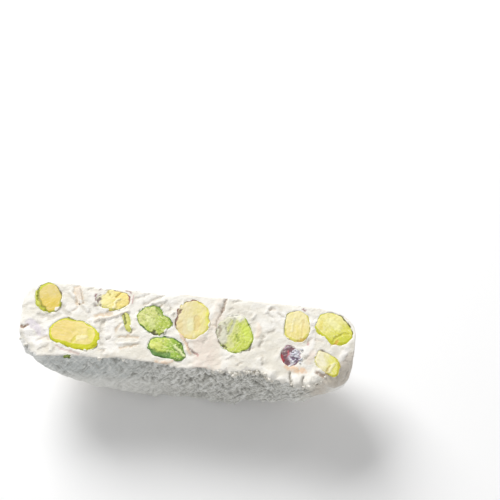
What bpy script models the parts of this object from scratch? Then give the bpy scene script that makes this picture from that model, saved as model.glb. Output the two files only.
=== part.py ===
"""A slice of a round pistachio nougat cake, lying on its rim with the cut face up.

The cake is a thick disc with soft, rounded, floury edges. One straight cut takes a
segment off it: a bar with a flat cut face on top, two flat floury sides, and the
round floury rim below, which has sat flat where the bar rests. Halved pistachios
and one kernel in its red skin sit in the cut face, each in its own pocket.

+X runs along the bar, +Y through the cake's thickness, +Z up out of the cut face.
"""

import math
from typing import NamedTuple

import bmesh
import bpy
from mathutils import Matrix, Vector, noise

MM = 0.001

# The round cake that the bar is cut from.
CAKE_RADIUS = 59.6 * MM
CAKE_THICKNESS = 25.4 * MM
RIM_ROUNDING = 7 * MM

# The rim waves in and out as it goes round: (waves in each radian, phase, height).
RIM_WAVES = [(2.3, 0.6, 0.5 * MM), (5.1, -1.1, 0.3 * MM)]
RIM_WAVES_START = 0.6

# The straight cut, and the flat that the soft rim has taken where the bar rests.
CUT_FROM_CENTRE = 25.6 * MM
REST_FLAT_DEPTH = 2 * MM
CENTRE_HEIGHT = CAKE_RADIUS - REST_FLAT_DEPTH
BAR_HEIGHT = CENTRE_HEIGHT - CUT_FROM_CENTRE

# Standing on its rim, the soft nougat has slumped: its ends bulge below the cut,
# and its front side has a belly towards the left.
SLUMP_LEFT = 0.115
SLUMP_RIGHT = 0.085
BELLY = 2.2 * MM
BELLY_PLACE = -30 * MM
BELLY_REACH = 22 * MM

# How finely the solid is faceted.
SPIN_HALF_ANGLE = math.radians(69)
ABOVE_CUT = 5 * MM
SPIN_STEPS = 42
SIDE_STEPS = 10
ROUNDING_STEPS = 4
CUT_GRID = 3.2 * MM
CUT_SNAP = 0.9 * MM
REST_SNAP = 0.25 * MM

# The back side steps out a little at the middle, and draws in at the right end.
BACK_AT_LEFT = 0.915
BACK_STEP = (-14 * MM, 4 * MM)
BACK_AT_RIGHT = 0.93
BACK_DRAWN_IN = (38 * MM, 54 * MM)

# The front corners of the cut, where the floury rim slopes away below the cut face:
# (where the slope starts, the way it faces, how far it reaches, how much it drops).
SHOULDERS = [
    ((47.9 * MM, -6.9 * MM), (0.75, -0.66), 8 * MM, 6.5 * MM),
    ((-48.4 * MM, -9.4 * MM), (-0.72, -0.69), 5 * MM, 4 * MM),
]

# Where the front edge of the cut has broken back or been dragged out by the knife:
# (x, reach along the edge, how far the edge moves in).
EDGE_BREAKS = [
    (-44 * MM, 7 * MM, -1.6 * MM),
    (-14 * MM, 14 * MM, 1.0 * MM),
    (23.5 * MM, 3.5 * MM, 2.2 * MM),
    (34 * MM, 7 * MM, -0.8 * MM),
]
EDGE_BREAK_DEPTH = 6 * MM

# Uneven surfaces: pressed dough on the floury sides, a torn face where it was cut.
LUMP_SIZE = 15 * MM
LUMP_HEIGHT = 0.7 * MM
TEAR_SIZE = 7 * MM
TEAR_HEIGHT = 0.35 * MM
TEAR_SEED = Vector((3.1, 0, 0))
EDGE_CRUMBLE = 0.7 * MM
EDGE_SEED = Vector((0, 7.7, 0))
FLAT_REST_ZONE = 1.5 * MM

# Folds pressed into the floury sides: (side, x and height where it starts, x and height where it ends).
FOLD_WIDTH = 2.2 * MM
FOLD_DEPTH = 0.7 * MM
FOLDS = [
    ("front", (-34 * MM, 26 * MM), (-8 * MM, 9 * MM)),
    ("front", (4 * MM, 27 * MM), (26 * MM, 15 * MM)),
    ("front", (12 * MM, 12 * MM), (-4 * MM, 3 * MM)),
    ("back", (-40 * MM, 24 * MM), (-18 * MM, 8 * MM)),
    ("back", (-6 * MM, 28 * MM), (2 * MM, 6 * MM)),
    ("back", (36 * MM, 25 * MM), (14 * MM, 10 * MM)),
]

# Kernels. Each sits in a pocket of its own shape, this much wider all round.
POCKET_GAP = 0.3 * MM
POCKET_MOUTH = 4 * MM
KERNEL_AROUND = 26
KERNEL_RINGS = 8
KERNEL_PROUD = 0.25 * MM


class Kernel(NamedTuple):
    """A halved kernel in the cut face. Lengths are in millimetres and directions in degrees from +X."""

    name: str
    place: tuple
    half_size: tuple  # half its length, half its width
    turn: float  # the direction of its long axis
    squared: float  # 2 is an ellipse, more is boxier
    depth: float
    lean: tuple  # how far its buried end moves sideways for each millimetre down
    bumps: tuple = ()  # (direction, height as a share of the radius, how wide) of each bulge or dent


KERNELS = [
    Kernel(
        "pistachio_01", (-45.5, 6.1), (4.8, 4.2), -82, 2.1, 5.5, (0.4, -0.6),
        ((-72, 0.1, 18), (-98, -0.06, 14)),
    ),
    Kernel(
        "pistachio_02", (-35.3, -5.5), (8.1, 4.6), -9, 2.5, 5.5, (0.1, 0.2),
        ((-45, 0.09, 24), (152, -0.06, 20), (16, -0.03, 18), (-120, -0.05, 22)),
    ),
    Kernel(
        "pistachio_03", (-24.6, 7.5), (5.3, 3.2), 4, 2.6, 6.0, (0.0, -0.5),
        ((-92, 0.06, 20), (-140, -0.08, 20)),
    ),
    Kernel("pistachio_04", (-19.2, 0.5), (3.6, 1.3), -68, 2.3, 4.0, (0.2, 0.0)),
    Kernel(
        "pistachio_05", (-10.7, 2.3), (5.7, 4.35), -28, 2.5, 6.5, (-0.1, 0.2),
        ((40, -0.13, 22), (-14, 0.04, 15), (-144, -0.07, 25), (125, -0.03, 25)),
    ),
    Kernel(
        "pistachio_06", (-5.2, -6.9), (6.2, 3.7), -12, 2.3, 5.0, (0.0, 0.0),
        ((-27, 0.17, 13), (62, 0.05, 22), (2, -0.12, 18), (-78, -0.1, 22), (125, -0.05, 20)),
    ),
    Kernel(
        "pistachio_07", (1.5, 3.8), (6.6, 5.4), 95, 2.15, 7.5, (0.1, 0.0),
        ((69, -0.06, 8), (48, 0.05, 16)),
    ),
    Kernel(
        "pistachio_08", (15.7, 0.6), (6.4, 5.6), 112, 2.2, 7.0, (0.0, 0.1),
        ((60, -0.05, 20), (-100, 0.03, 20)),
    ),
    Kernel("pistachio_09", (34.9, 5.5), (5.3, 4.15), 92, 2.15, 7.0, (-0.1, -0.2), ((-62, 0.04, 14),)),
    Kernel(
        "pistachio_10", (46.9, 6.0), (6.3, 4.6), -37, 2.5, 5.5, (-0.6, -0.4),
        ((-130, -0.06, 22), (-60, -0.03, 18), (-92, 0.05, 14)),
    ),
    Kernel(
        "pistachio_11", (45.8, -5.7), (4.6, 2.9), -42, 2.2, 4.5, (-0.5, 0.3),
        ((-62, 0.12, 16), (-110, -0.08, 24)),
    ),
    Kernel(
        "red_kernel", (33.8, -4.8), (3.4, 3.15), 70, 2.1, 5.0, (-0.1, 0.2),
        ((110, 0.06, 16), (20, -0.06, 20)),
    ),
]


def clear_scene():
    for thing in list(bpy.data.objects):
        bpy.data.objects.remove(thing)


def matte_material(name, colour, roughness):
    material = bpy.data.materials.new(name)
    material.use_nodes = True
    shader = material.node_tree.nodes["Principled BSDF"]
    shader.inputs["Base Color"].default_value = (*colour, 1)
    shader.inputs["Roughness"].default_value = roughness
    shader.inputs["Metallic"].default_value = 0
    return material


def add_object(name, mesh_builder, material, smooth_angle=40):
    """Puts a finished bmesh into the scene as one named object."""
    mesh = bpy.data.meshes.new(name)
    mesh_builder.to_mesh(mesh)
    mesh_builder.free()
    mesh.shade_smooth()
    mesh.set_sharp_from_angle(angle=math.radians(smooth_angle))
    mesh.materials.append(material)
    thing = bpy.data.objects.new(name, mesh)
    bpy.context.scene.collection.objects.link(thing)
    return thing


def smooth_step(low, high, value):
    share = min(1, max(0, (value - low) / (high - low)))
    return share * share * (3 - 2 * share)


# ---------------------------------------------------------------- the nougat bar


def cake_profile():
    """Points (distance from the cake's axis, y) from the front side, round the rim, to the back side."""
    half = CAKE_THICKNESS / 2
    inner = CUT_FROM_CENTRE - ABOVE_CUT
    flat_end = CAKE_RADIUS - RIM_ROUNDING
    front = []
    for step in range(SIDE_STEPS):
        front.append((inner + (flat_end - inner) * step / SIDE_STEPS, -half))
    for step in range(ROUNDING_STEPS + 1):
        angle = math.pi / 2 * step / ROUNDING_STEPS
        front.append(
            (flat_end + RIM_ROUNDING * math.sin(angle), -half + RIM_ROUNDING * (1 - math.cos(angle)))
        )
    middle = [(CAKE_RADIUS, 0)]
    back = [(radius, -y) for radius, y in reversed(front)]
    return front + middle + back


def spin_cake_sheet(builder):
    """The skin of the cake's lower sector: the profile spun about the cake's axis, which lies along Y."""
    centre = Vector((0, 0, CENTRE_HEIGHT))
    down = Matrix.Rotation(SPIN_HALF_ANGLE, 3, "Y") @ Vector((0, 0, -1))
    verts = []
    for radius, y in cake_profile():
        verts.append(builder.verts.new(centre + down * radius + Vector((0, y, 0))))
    edges = [builder.edges.new(pair) for pair in zip(verts, verts[1:])]
    bmesh.ops.spin(
        builder,
        geom=verts + edges,
        cent=centre,
        axis=(0, 1, 0),
        angle=-2 * SPIN_HALF_ANGLE,
        steps=SPIN_STEPS,
        use_merge=False,
    )
    bmesh.ops.remove_doubles(builder, verts=builder.verts, dist=0.01 * MM)


def form_by_hand(builder):
    """Makes the turned shape uneven: a wavy rim, slumped ends, a belly, and a stepped back."""
    centre = Vector((0, 0, CENTRE_HEIGHT))
    for vert in builder.verts:
        out = vert.co - centre
        radius = math.hypot(out.x, out.z)
        angle = math.atan2(out.x, -out.z)
        wave = sum(height * math.sin(rate * angle + phase) for rate, phase, height in RIM_WAVES)
        near_rim = smooth_step(CAKE_RADIUS * RIM_WAVES_START, CAKE_RADIUS, radius)
        stretch = 1 + wave * near_rim / radius
        vert.co.x = out.x * stretch
        vert.co.z = CENTRE_HEIGHT + out.z * stretch
        share = min(1, max(0, vert.co.z / BAR_HEIGHT))
        swell = math.sin(math.pi * share)
        vert.co.x *= 1 + (SLUMP_LEFT if vert.co.x < 0 else SLUMP_RIGHT) * swell
        if vert.co.y > 0:
            at_left = 1 - smooth_step(*BACK_STEP, vert.co.x)
            at_right = smooth_step(*BACK_DRAWN_IN, vert.co.x)
            vert.co.y *= 1 - (1 - BACK_AT_LEFT) * at_left - (1 - BACK_AT_RIGHT) * at_right
        else:
            near_belly = math.exp(-(((vert.co.x - BELLY_PLACE) / BELLY_REACH) ** 2))
            vert.co.y *= 1 + BELLY / (CAKE_THICKNESS / 2) * near_belly * swell


def cut_flat(builder, height, snap, keep_below):
    """Cuts the sheet along a level plane, drops one side, and closes the hole with one face."""
    for vert in builder.verts:
        if abs(vert.co.z - height) < snap:
            vert.co.z = height
    geometry = builder.verts[:] + builder.edges[:] + builder.faces[:]
    cut = bmesh.ops.bisect_plane(
        builder,
        geom=geometry,
        dist=0.001 * MM,
        plane_co=(0, 0, height),
        plane_no=(0, 0, 1),
        clear_outer=keep_below,
        clear_inner=not keep_below,
    )
    rim = [item for item in cut["geom_cut"] if isinstance(item, bmesh.types.BMEdge)]
    return bmesh.ops.contextual_create(builder, geom=rim)["faces"]


def is_cut_face(face):
    return face.normal.z > 0.99 and face.calc_center_median().z > BAR_HEIGHT * 0.99


def slice_into_grid(builder, faces, spacing):
    """Divides the big cut face along X and Y, so that it can be made uneven."""
    corners = [vert.co for face in faces for vert in face.verts]
    for axis in (Vector((1, 0, 0)), Vector((0, 1, 0))):
        low = min(corner.dot(axis) for corner in corners)
        high = max(corner.dot(axis) for corner in corners)
        count = round((high - low) / spacing)
        for step in range(1, count):
            flat = [face for face in builder.faces if is_cut_face(face)]
            around = {item for face in flat for item in (face, *face.edges, *face.verts)}
            bmesh.ops.bisect_plane(
                builder,
                geom=list(around),
                dist=0.05 * MM,
                plane_co=axis * (low + (high - low) * step / count),
                plane_no=axis,
            )


def fold_at(point):
    """How deep a fold presses into a floury side at this point, as a share of its full depth."""
    deepest = 0
    here = Vector((point.x, point.z))
    for side, start, end in FOLDS:
        if (side == "front") != (point.y < 0):
            continue
        first, along = Vector(start), Vector(end) - Vector(start)
        share = min(1, max(0, (here - first).dot(along) / along.length_squared))
        away = (here - first - along * share).length
        fade = math.sin(math.pi * (0.1 + 0.8 * share))
        deepest = max(deepest, fade * math.exp(-((away / FOLD_WIDTH) ** 2)))
    return deepest


def shoulder_drop(point):
    """How far the cut face slopes down here: nothing over most of it, millimetres at a shoulder."""
    drop = 0
    for start, facing, reach, depth in SHOULDERS:
        beyond = (Vector((point.x, point.y)) - Vector(start)).dot(Vector(facing).normalized())
        drop += depth * smooth_step(0, reach, beyond)
    return drop


def edge_break_at(point):
    """How far the front edge of the cut has moved in here, fading out down the side."""
    if point.y > -CAKE_THICKNESS / 4:
        return 0
    near_cut = smooth_step(BAR_HEIGHT - EDGE_BREAK_DEPTH, BAR_HEIGHT, point.z)
    moved = sum(inward * math.exp(-(((point.x - x) / reach) ** 2)) for x, reach, inward in EDGE_BREAKS)
    return moved * near_cut * abs(point.y) / (CAKE_THICKNESS / 2)


def roughen(builder):
    """Presses lumps and folds into the sides, tears the cut face, and lowers the shoulder."""
    builder.normal_update()
    moves = []
    for vert in builder.verts:
        point, outward = vert.co, vert.normal
        on_cut = point.z > BAR_HEIGHT - 0.1 * MM
        held = smooth_step(0, FLAT_REST_ZONE, point.z)
        sideways = Vector((outward.x, outward.y, 0 if on_cut else outward.z))
        lump = noise.noise(point / LUMP_SIZE) * LUMP_HEIGHT
        fold = fold_at(point) * FOLD_DEPTH * abs(outward.y)
        move = sideways * (lump - fold) * held
        if on_cut:
            interior = len([f for f in vert.link_faces if f.normal.z < 0.9]) == 0
            tear = noise.noise(point / TEAR_SIZE + TEAR_SEED) * TEAR_HEIGHT
            crumble = noise.noise(point / TEAR_SIZE + EDGE_SEED) * EDGE_CRUMBLE
            move = Vector((0, 0, tear)) if interior else move + Vector((0, crumble, tear))
        move.y += edge_break_at(point)
        move.z -= shoulder_drop(point) * point.z / BAR_HEIGHT
        moves.append(move)
    for vert, move in zip(builder.verts, moves):
        vert.co += move


def make_bar(material):
    builder = bmesh.new()
    spin_cake_sheet(builder)
    form_by_hand(builder)
    cut_faces = cut_flat(builder, BAR_HEIGHT, CUT_SNAP, keep_below=True)
    cut_flat(builder, 0, REST_SNAP, keep_below=False)
    bmesh.ops.recalc_face_normals(builder, faces=builder.faces)
    slice_into_grid(builder, cut_faces, CUT_GRID)
    roughen(builder)
    bmesh.ops.triangulate(builder, faces=builder.faces)
    bmesh.ops.recalc_face_normals(builder, faces=builder.faces)
    return add_object("nougat", builder, material)


# ---------------------------------------------------------------- the kernels


def kernel_radius(kernel, direction, grow):
    """How far a kernel's outline is from its middle in this direction on the cut face, in metres."""
    length, width = (half * MM + grow for half in kernel.half_size)
    angle = direction - math.radians(kernel.turn)
    across, up = abs(math.cos(angle)) / length, abs(math.sin(angle)) / width
    radius = (across**kernel.squared + up**kernel.squared) ** (-1 / kernel.squared)
    for bump_direction, height, spread in kernel.bumps:
        away = math.remainder(direction - math.radians(bump_direction), 2 * math.pi)
        radius *= 1 + height * math.exp(-((away / math.radians(spread)) ** 2))
    return radius


def kernel_mesh(kernel, grow, top):
    """A kernel cut flat at `top`: its outline there, and a rounded, leaning end below."""
    builder = bmesh.new()
    bmesh.ops.create_uvsphere(builder, u_segments=KERNEL_AROUND, v_segments=KERNEL_RINGS, radius=1)
    geometry = builder.verts[:] + builder.edges[:] + builder.faces[:]
    cut = bmesh.ops.bisect_plane(
        builder, geom=geometry, dist=1e-4, plane_co=(0, 0, 0), plane_no=(0, 0, 1), clear_outer=True
    )
    rim = [item for item in cut["geom_cut"] if isinstance(item, bmesh.types.BMEdge)]
    bmesh.ops.contextual_create(builder, geom=rim)
    for vert in builder.verts:
        radius = kernel_radius(kernel, math.atan2(vert.co.y, vert.co.x), grow)
        below = -vert.co.z * (kernel.depth * MM + grow)
        vert.co.x = vert.co.x * radius + below * kernel.lean[0]
        vert.co.y = vert.co.y * radius + below * kernel.lean[1]
        vert.co.z = -below
    bmesh.ops.translate(builder, verts=builder.verts, vec=(kernel.place[0] * MM, kernel.place[1] * MM, top))
    bmesh.ops.recalc_face_normals(builder, faces=builder.faces)
    return builder


def cut_pocket(bar, kernel, top):
    """Cuts the kernel's pocket out of the bar with a hidden, slightly larger copy."""
    builder = kernel_mesh(kernel, POCKET_GAP, top)
    lid = max(builder.faces, key=lambda face: face.normal.z * face.calc_area())
    mouth = bmesh.ops.extrude_face_region(builder, geom=[lid])
    raised = [item for item in mouth["geom"] if isinstance(item, bmesh.types.BMVert)]
    bmesh.ops.delete(builder, geom=[lid], context="FACES_ONLY")
    bmesh.ops.translate(builder, verts=raised, vec=(0, 0, POCKET_MOUTH))
    bmesh.ops.recalc_face_normals(builder, faces=builder.faces)
    mesh = bpy.data.meshes.new("pocket_" + kernel.name)
    builder.to_mesh(mesh)
    builder.free()
    cutter = bpy.data.objects.new(mesh.name, mesh)
    bpy.context.scene.collection.objects.link(cutter)
    cutter.hide_render = True
    cutter.display_type = "WIRE"
    pocket = bar.modifiers.new(mesh.name, "BOOLEAN")
    pocket.operation = "DIFFERENCE"
    pocket.object = cutter


def kernel_top(kernel):
    """The height of a kernel's cut face: a little proud of the nougat, and lower on the shoulder."""
    place = Vector((kernel.place[0] * MM, kernel.place[1] * MM, BAR_HEIGHT))
    return BAR_HEIGHT + KERNEL_PROUD - shoulder_drop(place)


def centre_on_origin(things):
    """Moves every mesh so that the bar's box stands on the origin."""
    bar = bpy.data.objects["nougat"]
    corners = [vert.co for vert in bar.data.vertices]
    middle_x = (min(c.x for c in corners) + max(c.x for c in corners)) / 2
    middle_y = (min(c.y for c in corners) + max(c.y for c in corners)) / 2
    for thing in things:
        thing.data.transform(Matrix.Translation((-middle_x, -middle_y, 0)))


def main():
    clear_scene()
    nougat_white = matte_material("nougat_white", (0.82, 0.79, 0.71), 0.85)
    pistachio_green = matte_material("pistachio_green", (0.62, 0.62, 0.16), 0.6)
    red_skin = matte_material("red_skin", (0.22, 0.04, 0.05), 0.55)
    bar = make_bar(nougat_white)
    for kernel in KERNELS:
        top = kernel_top(kernel)
        material = red_skin if kernel.name == "red_kernel" else pistachio_green
        add_object(kernel.name, kernel_mesh(kernel, 0, top), material)
        cut_pocket(bar, kernel, top)
    centre_on_origin(bpy.data.objects[:])


main()
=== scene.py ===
# %% [markdown]
# # A slice of soft pistachio nougat
#
# Soft nougat is egg white whipped with hot honey and sugar, stirred round whole pistachios, pressed
# into a thick round cake and dusted with flour so that it doesn't stick. This slice was cut off the
# side of such a cake. It lies on the cake's rim, so its one flat, creamy cut looks up and shows the
# pistachios halved by the knife, and its other sides keep the grey-white floury skin of the cake.
#
# The solid model gives the true form and size. This script gives the slice its looks: the smeared
# cut, the crumbly floury skin, and the colours and skins of the nuts.

# %% Load the solid model
import math
from typing import NamedTuple

import bmesh
import bpy
import numpy as np
from mathutils import Euler, Matrix, Vector, kdtree, noise


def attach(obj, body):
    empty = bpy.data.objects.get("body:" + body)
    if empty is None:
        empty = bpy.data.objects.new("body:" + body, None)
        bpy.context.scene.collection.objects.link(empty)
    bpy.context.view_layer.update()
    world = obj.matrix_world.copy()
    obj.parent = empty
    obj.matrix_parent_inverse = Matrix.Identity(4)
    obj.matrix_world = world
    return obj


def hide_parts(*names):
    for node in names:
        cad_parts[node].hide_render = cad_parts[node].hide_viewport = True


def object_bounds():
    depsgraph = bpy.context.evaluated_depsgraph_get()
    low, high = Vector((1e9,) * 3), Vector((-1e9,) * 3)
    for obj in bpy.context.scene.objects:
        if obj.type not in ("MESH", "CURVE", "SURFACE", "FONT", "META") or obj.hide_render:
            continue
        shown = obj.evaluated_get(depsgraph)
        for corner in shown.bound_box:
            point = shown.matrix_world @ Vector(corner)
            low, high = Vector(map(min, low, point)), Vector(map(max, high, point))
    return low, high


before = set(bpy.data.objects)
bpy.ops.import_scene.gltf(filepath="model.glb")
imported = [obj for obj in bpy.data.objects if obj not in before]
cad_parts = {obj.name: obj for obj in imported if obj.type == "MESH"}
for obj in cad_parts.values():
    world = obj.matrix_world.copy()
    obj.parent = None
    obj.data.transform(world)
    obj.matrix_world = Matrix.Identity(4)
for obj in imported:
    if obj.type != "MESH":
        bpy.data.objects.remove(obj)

cad_low, cad_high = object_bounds()
MM = 0.001
print("solid model, mm:", [round(side / MM, 1) for side in cad_high - cad_low])

# %% [markdown]
# ## Camera and light
#
# The camera stands far back with a long lens, looking steeply down on the cut. A big softbox, low on
# the left and behind, rakes over the cut so that its smears show, and leaves the near side in
# soft shade. The pale floor and an even white sky fill the shadows. Light powers are easier to judge as
# the brightness that a white card would get, so the power in watts is worked out from that.

# %% Camera
CAMERA_TURN = math.radians(6.865)
CAMERA_HEIGHT = math.radians(65)
CAMERA_DISTANCE = 0.5165
CAMERA_TARGET = Vector((0.0157, 0.0388, 0.016))
LENS = 110


def direction(turn, height):
    """A unit vector: turn is measured from the front towards the right, height from the floor up."""
    level = math.cos(height)
    return Vector((math.sin(turn) * level, -math.cos(turn) * level, math.sin(height)))


def aim(thing, place, target):
    thing.location = place
    thing.rotation_euler = (target - place).to_track_quat("-Z", "Y").to_euler()


camera = bpy.data.objects.new("camera", bpy.data.cameras.new("camera"))
camera.data.lens = LENS
bpy.context.scene.collection.objects.link(camera)
bpy.context.scene.camera = camera
aim(camera, CAMERA_TARGET + direction(CAMERA_TURN, CAMERA_HEIGHT) * CAMERA_DISTANCE, CAMERA_TARGET)
bpy.context.scene.view_settings.view_transform = "Standard"

# %% Lights
SKY_BRIGHTNESS = 0.42
MIDDLE = (cad_low + cad_high) / 2


def softbox(name, turn, height, distance, size, brightness):
    """A square light aimed at the slice. Brightness is that of a white card facing the light."""
    lamp = bpy.data.lights.new(name, "AREA")
    lamp.shape = "SQUARE"
    lamp.size = size
    lamp.energy = brightness * math.pi**2 * distance**2
    light = bpy.data.objects.new(name, lamp)
    bpy.context.scene.collection.objects.link(light)
    aim(light, MIDDLE + direction(turn, height) * distance, MIDDLE)
    print(f"{name}: {lamp.energy:.1f} W at {distance} m")


softbox("key_light", math.radians(-142), math.radians(42), 1.2, 0.65, 0.95)
softbox("fill_light", math.radians(60), math.radians(30), 1.2, 0.9, 0.12)

world = bpy.data.worlds.new("studio")
world.use_nodes = True
world.node_tree.nodes["Background"].inputs["Color"].default_value = (1, 1, 1, 1)
world.node_tree.nodes["Background"].inputs["Strength"].default_value = SKY_BRIGHTNESS
bpy.context.scene.world = world

# %% [markdown]
# ## Building materials as sums
#
# A material is a net of nodes. Clicking one together is easy to follow but hard to write down, so here
# a small class wraps a socket and lets Python's own signs add the Math nodes: `1 - mask * 0.5` makes
# two of them. Everything else comes from one method that adds any node: its settings first, because
# they decide which sockets it has, and then its sockets.

# %% Shader helpers


class Value:
    """A socket of a material that can be used in sums."""

    def __init__(self, finish, socket):
        self.finish = finish
        self.socket = socket

    def math(self, operation, first, second):
        return self.finish.node("ShaderNodeMath", {"operation": operation}, {0: first, 1: second})

    def __add__(self, other):
        return self.math("ADD", self, other)

    def __radd__(self, other):
        return self.math("ADD", other, self)

    def __sub__(self, other):
        return self.math("SUBTRACT", self, other)

    def __rsub__(self, other):
        return self.math("SUBTRACT", other, self)

    def __mul__(self, other):
        return self.math("MULTIPLY", self, other)

    def __rmul__(self, other):
        return self.math("MULTIPLY", other, self)


class Finish:
    """A material under construction."""

    def __init__(self, name):
        self.material = bpy.data.materials.new(name)
        self.material.use_nodes = True
        self.tree = self.material.node_tree
        self.tree.nodes.clear()

    def node(self, kind, settings, sockets, output=0):
        """Adds a node and gives one of its outputs."""
        made = self.tree.nodes.new(kind)
        for name, value in settings.items():
            setattr(made, name, value)
        for name, value in sockets.items():
            if isinstance(value, Value):
                self.tree.links.new(value.socket, made.inputs[name])
            else:
                made.inputs[name].default_value = value
        return Value(self, made.outputs[output]) if len(made.outputs) else None

    def place(self, stretch=(1, 1, 1), turn=(0, 0, 0)):
        """Where a point of the surface is, for a pattern made longer along its own axes and then turned."""
        where = self.node("ShaderNodeTexCoord", {}, {}, "Object")
        turn = tuple(math.radians(angle) for angle in turn)
        sockets = {"Vector": where, "Scale": stretch, "Rotation": turn}
        return self.node("ShaderNodeMapping", {"vector_type": "TEXTURE"}, sockets)

    def noise(self, size, detail=2, roughness=0.5, distortion=0, where=None):
        """Cloudy noise from 0 to 1 with blotches about `size` mm apart."""
        sockets = {"Scale": 1 / (size * MM), "Detail": detail, "Roughness": roughness}
        sockets.update({"Distortion": distortion, "Vector": where or self.place()})
        return self.node("ShaderNodeTexNoise", {}, sockets)

    def step(self, value, low, high):
        """0 below low, 1 above high, and a smooth step between."""
        sockets = {"Value": value, "From Min": low, "From Max": high}
        return self.node("ShaderNodeMapRange", {"interpolation_type": "SMOOTHSTEP"}, sockets)

    def mix(self, share, first, second):
        """One colour turning into another as share goes from 0 to 1."""
        return self.node("ShaderNodeMix", {"data_type": "RGBA"}, {0: share, 6: first, 7: second}, 2)

    def attribute(self, name, output="Fac"):
        return self.node("ShaderNodeAttribute", {"attribute_name": name}, {}, output)

    def paint_over(self, colour, name, wear=1):
        """Lays brush strokes kept on the mesh over a colour. Each is kept as colour times strength."""
        shown = self.attribute(name, "Alpha") * wear
        thin = self.mix(wear, (0, 0, 0, 1), self.attribute(name, "Color"))
        under = self.mix(shown, colour, (0, 0, 0, 1))
        settings = {"data_type": "RGBA", "blend_type": "ADD"}
        return self.node("ShaderNodeMix", settings, {0: 1, 6: under, 7: thin}, 2)

    def bump(self, height, depth, normal=None):
        """Small relief: height from 0 to 1 stands for `depth` mm."""
        sockets = {"Height": height, "Distance": depth * MM}
        if normal:
            sockets["Normal"] = normal
        return self.node("ShaderNodeBump", {}, sockets)

    def surface(self, sockets):
        """The finished surface: the sockets of the main shader."""
        shader = self.node("ShaderNodeBsdfPrincipled", {}, sockets)
        self.node("ShaderNodeOutputMaterial", {}, {"Surface": shader})
        return self.material


def tone(red, green, blue):
    """A colour as a paint chart gives it, from 0 to 255, turned into the light that it reflects."""
    shares = [channel / 255 for channel in (red, green, blue)]
    return tuple(s / 12.92 if s <= 0.04045 else ((s + 0.055) / 1.055) ** 2.4 for s in shares) + (1,)


# %% [markdown]
# ## The floor
#
# A plain sheet of white card. It lies at the height of the slice's lowest point, and it isn't part of
# the object.

# %% Floor
FLOOR_SIZE = 4

builder = bmesh.new()
bmesh.ops.create_grid(builder, x_segments=1, y_segments=1, size=FLOOR_SIZE / 2)
floor = bpy.data.objects.new("floor", bpy.data.meshes.new("floor"))
builder.to_mesh(floor.data)
builder.free()
floor.location.z = cad_low.z
bpy.context.scene.collection.objects.link(floor)
card = Finish("white_card")
floor.data.materials.append(card.surface({"Base Color": tone(252, 252, 252), "Roughness": 1}))

# %% [markdown]
# ## A skin that can be modelled like clay
#
# The solid model has large facets, made for engineering. Its form is right, but nothing small can be
# pressed into it. Subdividing would keep the long thin triangles round the pockets, so the copy is
# wrapped in an even net of small quads instead, with Remesh in voxel mode, and its facets are smoothed.
# Then every point can be moved in or out, as a thumb or a knife would do it.

# %% Modelling helpers


def merged_copy(node, grow=0, lower=0):
    """A node's loose triangles, copied and joined into one closed shell, swollen or lowered by some mm."""
    builder = bmesh.new()
    builder.from_mesh(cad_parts[node].data)
    bmesh.ops.remove_doubles(builder, verts=builder.verts, dist=0.001 * MM)
    builder.normal_update()
    for vert in builder.verts:
        vert.co += vert.normal * grow * MM
    bmesh.ops.translate(builder, verts=builder.verts, vec=(0, 0, -lower * MM))
    return builder


def add_shell(builder, other):
    """Puts another shell into a bmesh, loose."""
    mesh = bpy.data.meshes.new("shell")
    other.to_mesh(mesh)
    other.free()
    builder.from_mesh(mesh)
    bpy.data.meshes.remove(mesh)


def even_net(name, builder, voxel, smoothing):
    """Wraps a closed shell in quads of `voxel` mm, as a new object."""
    piece = bpy.data.objects.new(name, bpy.data.meshes.new(name))
    bpy.context.scene.collection.objects.link(piece)
    builder.to_mesh(piece.data)
    builder.free()
    remesh = piece.modifiers.new("even net", "REMESH")
    remesh.mode = "VOXEL"
    remesh.voxel_size = voxel * MM
    graph = bpy.context.evaluated_depsgraph_get()
    net = bmesh.new()
    net.from_object(piece, graph)
    piece.modifiers.clear()
    for _ in range(smoothing):
        bmesh.ops.smooth_vert(
            net, verts=net.verts, factor=0.5, use_axis_x=True, use_axis_y=True, use_axis_z=True
        )
    net.to_mesh(piece.data)
    net.free()
    piece.data.shade_smooth()
    return piece


def read_points(mesh):
    """Every vertex's place in mm and its normal, as two tables of three columns."""
    tables = []
    for what, scale in (("co", MM), ("normal", 1)):
        values = np.empty(len(mesh.vertices) * 3)
        mesh.vertices.foreach_get(what, values)
        tables.append(values.reshape(-1, 3) / scale)
    return tables


def move_points(mesh, places):
    mesh.vertices.foreach_set("co", (places * MM).ravel())
    mesh.update()


def save_mask(mesh, name, values):
    """Keeps one number for each vertex, for the material to read."""
    mask = mesh.attributes.new(name, "FLOAT", "POINT")
    mask.data.foreach_set("value", values.astype(np.float32))


def save_paint(mesh, name, colours):
    """Keeps a colour and its strength for each vertex, as with a brush on the surface."""
    paint = mesh.attributes.new(name, "FLOAT_COLOR", "POINT")
    paint.data.foreach_set("color", colours.astype(np.float32).ravel())


def bumps(places, size, layers=1, seed=0):
    """Noise at every place, about -1 to 1, with bumps about `size` mm apart."""
    shift = Vector((7.1, 3.3, 5.7)) * seed
    values = [noise.fractal(Vector(place) + shift, 1, 2, layers) for place in places / size]
    return np.array(values) * 1.4


def smooth(low, high, values):
    """0 below low, 1 above high, and a smooth step between."""
    share = np.clip((values - low) / (high - low), 0, 1)
    return share * share * (3 - 2 * share)


def distance_to_line(places, points):
    """How far each place is from a line through these points."""
    nearest = np.full(len(places), np.inf)
    for start, end in zip(points, points[1:]):
        along = np.subtract(end, start)
        from_start = places - np.array(start)
        share = np.clip(from_start @ along / (along @ along), 0, 1)
        nearest = np.minimum(nearest, np.linalg.norm(from_start - share[:, None] * along, axis=1))
    return nearest


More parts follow.
